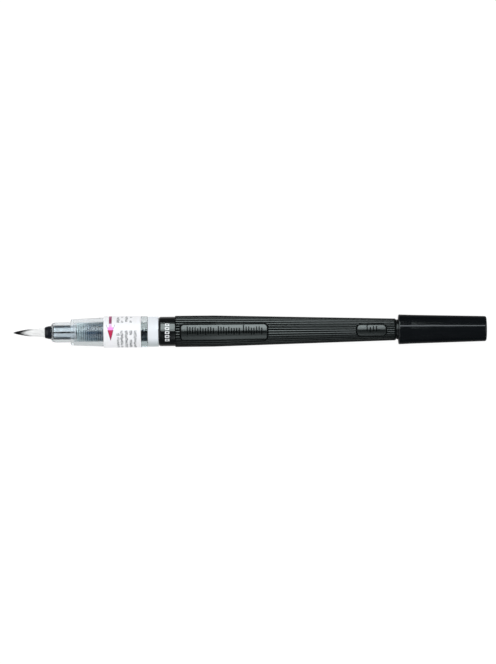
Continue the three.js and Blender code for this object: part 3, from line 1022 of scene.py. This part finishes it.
def barrel_rows():
    """Stations of the barrel's rings, closest together where the ribs stop at a panel."""
    rows = [BARREL_X + step for step in (0, 0.04, 0.12, 0.25, 0.5)]
    for centre, _, length, _, corner in PANELS:
        left, right = centre - length / 2, centre + length / 2
        rows += span(left - 0.7, left + corner + 0.2, 0.09)
        rows += span(right - corner - 0.2, right + 0.7, 0.09)
    rows += span(BARREL_X + 1.0, BARREL_END_X - 1.0, 1.6)
    rows += [BARREL_END_X - step for step in (0.8, 0.55, 0.3, 0.12, 0)]
    rows = sorted(set(round(x, 3) for x in rows))
    kept = [rows[0]]
    for x in rows[1:]:
        if x - kept[-1] > 0.03:
            kept.append(x)
    return kept


def barrel():
    """Ribbed squeeze barrel: round-crested ribs that stop short of two smooth panels."""
    columns = RIBS * FACETS_PER_RIB
    rows = barrel_rows()
    verts, faces = [], []
    for x in rows:
        full = barrel_radius(x)
        scale = full / BARREL_R
        front = rounding((x - BARREL_X) / 0.3)
        rear = rounding((BARREL_END_X - x) / 0.6)
        ends = -0.28 * (1 - front) - 0.55 * (1 - rear)
        for k in range(columns):
            angle = RIB_TURN + 2 * math.pi * k / columns
            phase = abs(((k / FACETS_PER_RIB + 0.5) % 1.0) - 0.5) * 2
            valley = 0.36 * scale * phase**1.7
            d = panel_distance(x, angle, full)
            flat = 1 - smooth(-0.14, 0.02, d)
            moat = smooth(-0.04, 0.12, d) * (1 - smooth(0.22, 0.5, d))
            drop = valley * (1 - flat) * (1 - moat) + 0.34 * scale * moat
            r = full - drop + 0.03 * flat + ends
            verts.append((x, r * math.sin(angle), r * math.cos(angle)))
    bore = BARREL_R - 1.12
    inner = [(BARREL_END_X, POST_SHANK_R + 0.05), (TAPER_X, bore), (BARREL_X, bore)]
    for x, r in inner:
        for k in range(columns):
            angle = 2 * math.pi * k / columns
            verts.append((x, r * math.sin(angle), r * math.cos(angle)))
    total = len(rows) + len(inner)
    for i in range(total):
        j = (i + 1) % total
        for k in range(columns):
            n = (k + 1) % columns
            faces.append((i * columns + k, i * columns + n, j * columns + n, j * columns + k))
    obj = finish_mesh("ribbed_barrel", verts, faces, 50)
    add(obj, "barrel", "barrel_shell", barrel_material())


def tail_post():
    """Plug in the barrel's tail, with the hollow post that the cap sits on."""
    start, step, floor = 49.5, BARREL_END_X + 0.1, 52.0
    corners = [
        (start, 0),
        (start, 2.9, 0.1),
        (start + 0.5, POST_SHANK_R, 0.1),
        (step, POST_SHANK_R),
        (step, POST_R, 0.1),
        (POST_END_X, POST_R, 0.5),
        (POST_END_X, POST_BORE_R, 0.15),
        (floor, POST_BORE_R, 0.3),
        (floor - 1.0, 0),
    ]
    obj = spin("tail_plug_post", corners, 128)
    material = moulded("tail_post_plastic", (0.004, 0.005, 0.0055), 0.22, ior=1.3)
    add(obj, "barrel", "tail_post", material)


def cap():
    """Glossy cap, a little wider at its mouth than at its closed end."""
    floor = 93.4
    corners = [
        (CAP_X, 5.22, 0.1),
        (CAP_X, CAP_MOUTH_R, 0.45),
        (64.5, 5.76, 12),
        (CAP_END_X, CAP_REAR_R, 0.75),
        (CAP_END_X, 0),
        (floor, 0),
        (floor, 4.1, 0.4),
        (61.0, 5.0, 0.3),
    ]
    obj = spin("glossy_cap", corners, 200, steps=8)
    add(obj, "cap", "cap_shell", cap_material())


def liner():
    """Inner cap: a cup at the mouth and a narrower tube behind it."""
    start, end, floor = 60.6, 92.6, 91.6
    corners = [
        (start, 4.31),
        (start, 4.72, 0.1),
        (68.8, 4.6, 0.2),
        (70.0, 3.9, 0.2),
        (end, 3.9, 0.5),
        (end, 0),
        (floor, 0),
        (floor, 3.3, 0.4),
        (69.1, 3.3, 0.1),
        (68.6, 4.06, 0.1),
        (start + 0.4, 4.06),
    ]
    obj = spin("inner_cap", corners, 144)
    material = moulded("inner_cap_plastic", (0.012, 0.013, 0.015), 0.45)
    add(obj, "cap", "cap_liner", material)


# ---------------------------------------------------------------- stage


def floor_material():
    """Pale floor. Mirrored in the pen, only a dim strip of it beside the pen shows, dimmer again under the
    cap as a painted shadow.
    """
    paint = bpy.data.materials.new("pale_floor")
    paint.use_nodes = True
    t = Tree(paint.node_tree)
    glow = t.node("ShaderNodeEmission")
    glow.inputs["Color"].default_value = (1, 1, 1, 1)
    glow.inputs["Strength"].default_value = 0.93
    matt = t.node("ShaderNodeBsdfDiffuse")
    matt.inputs["Color"].default_value = (0.14, 0.14, 0.14, 1)
    seen = t.node("ShaderNodeAddShader")
    t.link(glow.outputs[0], seen.inputs[0])
    t.link(matt.outputs[0], seen.inputs[1])
    x, y, _ = t.axes("Object")
    beside = y.abs().ramp(0.011, 0.022, 0.62, 0.06, curve="LINEAR")
    dim = t.node("ShaderNodeEmission")
    # painted shadow: the mirrored strip is dimmer under the cap
    t.put(dim.inputs["Strength"], beside * x.ramp(0.056, 0.062, 1.0, 0.2, curve="LINEAR"))
    pick = t.node("ShaderNodeMixShader")
    t.put(pick.inputs[0], t.mirrored())
    t.link(seen.outputs[0], pick.inputs[1])
    t.link(dim.outputs[0], pick.inputs[2])
    t.link(pick.outputs[0], t.node("ShaderNodeOutputMaterial").inputs["Surface"])
    return paint


def floor():
    """A wide square just under the pen."""
    half = 3.0
    corners = [(-half, -half, 0), (half, -half, 0), (half, half, 0), (-half, half, 0)]
    mesh = bpy.data.meshes.new("floor")
    mesh.from_pydata(corners, [], [(0, 1, 2, 3)])
    mesh.materials.append(floor_material())
    obj = bpy.data.objects.new("floor", mesh)
    bpy.context.scene.collection.objects.link(obj)
    obj.location.z = -0.00005


def surroundings():
    """An even pale room. Glossy faces mirror a soft overhead glow instead, which only slanting views show."""
    world = bpy.data.worlds.new("studio")
    bpy.context.scene.world = world
    world.use_nodes = True
    t = Tree(world.node_tree)
    room = t.node("ShaderNodeBackground")
    room.inputs["Color"].default_value = (0.95, 0.97, 1.0, 1)
    x, _, z = t.axes("Generated")
    glow = z.ramp(0.3, 0.7, 0.05, x.abs().ramp(0.3, 0.6, 0.05, 1.0))
    t.put(room.inputs["Strength"], t.mirrored().ramp(0.0, 1.0, 0.45, glow, curve="LINEAR"))
    t.link(room.outputs[0], t.node("ShaderNodeOutputWorld").inputs["Surface"])


def lamp(name, x, lean, half, level, tint=(0.88, 1.0, 1.0), diffuse=False):
    """A long lamp parallel to the pen, half a metre off.

    x is its two ends, lean its angle from straight up towards +Y, half the angle it fills to each side,
    both as seen from the pen, and level its radiance. It is either mirrored in the glossy pieces or
    lights the matt ones.
    """
    reach = 0.5
    lean, half = math.radians(lean), math.radians(half)
    data = bpy.data.lights.new(name, "AREA")
    data.shape = "RECTANGLE"
    data.size = x[1] - x[0]
    data.size_y = 2 * reach * math.tan(half)
    data.energy = level * math.pi * data.size * data.size_y
    data.color = tint
    obj = bpy.data.objects.new(name, data)
    bpy.context.scene.collection.objects.link(obj)
    obj.location = ((x[0] + x[1]) / 2, reach * math.sin(lean), AXIS_Z * MM + reach * math.cos(lean))
    obj.rotation_euler = (-lean, 0, 0)
    obj.visible_camera = False
    obj.visible_diffuse = diffuse
    obj.visible_glossy = not diffuse


def lamps():
    """The softbox stands off to +Y, and a shorter one beyond its end lights the clear front.

    A narrow strip draws the line along the cap, and two dim reflectors on the other side lift the
    barrel's lower half. The key and the fill light the matt pieces.
    """
    lamp("softbox", (-0.0503, 0.104), 40.6, 21.4, 7.4)
    lamp("softbox_low_edge", (-0.0503, 0.104), 11.0, 8.0, 5.2)
    lamp("window_softbox", (-0.066, -0.0507), 45, 31, 8.6)
    lamp("front_softbox", (-0.112, -0.092), 33, 21, 0.5, (0.97, 1.0, 1.02))
    lamp("end_softbox", (-0.15, -0.118), 46, 30, 1.3, (0.97, 1.0, 1.0))
    lamp("cap_strip", (0.107, 0.20), 28, 4.6, 3.0, (0.92, 1.0, 1.06))
    lamp("low_reflector", (-0.0385, 0.085), -27, 9, 0.75)
    lamp("high_reflector", (-0.0385, 0.085), -51, 14, 1.8)
    lamp("key", (-0.2, 0.2), 30, 25, 2.2, (0.97, 0.99, 1.0), diffuse=True)
    lamp("fill", (-0.2, 0.2), -42, 24, 1.4, (0.98, 0.99, 1.0), diffuse=True)


def look():
    """Plain colours, and enough bounces for light to pass through the clear front."""
    scene = bpy.context.scene
    scene.view_settings.view_transform = "Standard"
    scene.view_settings.look = "None"
    scene.view_settings.exposure = 0
    scene.view_settings.gamma = 1
    scene.cycles.use_denoising = True
    scene.cycles.sample_clamp_indirect = 3.0
    scene.cycles.max_bounces = 24
    scene.cycles.transmission_bounces = 24
    scene.cycles.diffuse_bounces = 6


def camera():
    """Straight down on the pen, which fills the width and rises a little to the right."""
    data = bpy.data.cameras.new("camera")
    data.lens = LENS
    data.sensor_width = SENSOR
    data.clip_end = 20
    obj = bpy.data.objects.new("camera", data)
    bpy.context.scene.collection.objects.link(obj)
    obj.location = (-0.00072, -0.00050, AXIS_Z * MM + FRAME_HEIGHT * LENS / SENSOR)
    obj.rotation_euler = (0, 0, math.radians(-0.53))
    bpy.context.scene.camera = obj


tuft()
root_ring()
ferrule()
holder()
wick()
collector()
rear_plug()
feed_tube()
housing()
label()
collar()
mouth()
seal()
neck_plug()
barrel()
tail_post()
cap()
liner()
floor()
surroundings()
lamps()
look()
camera()
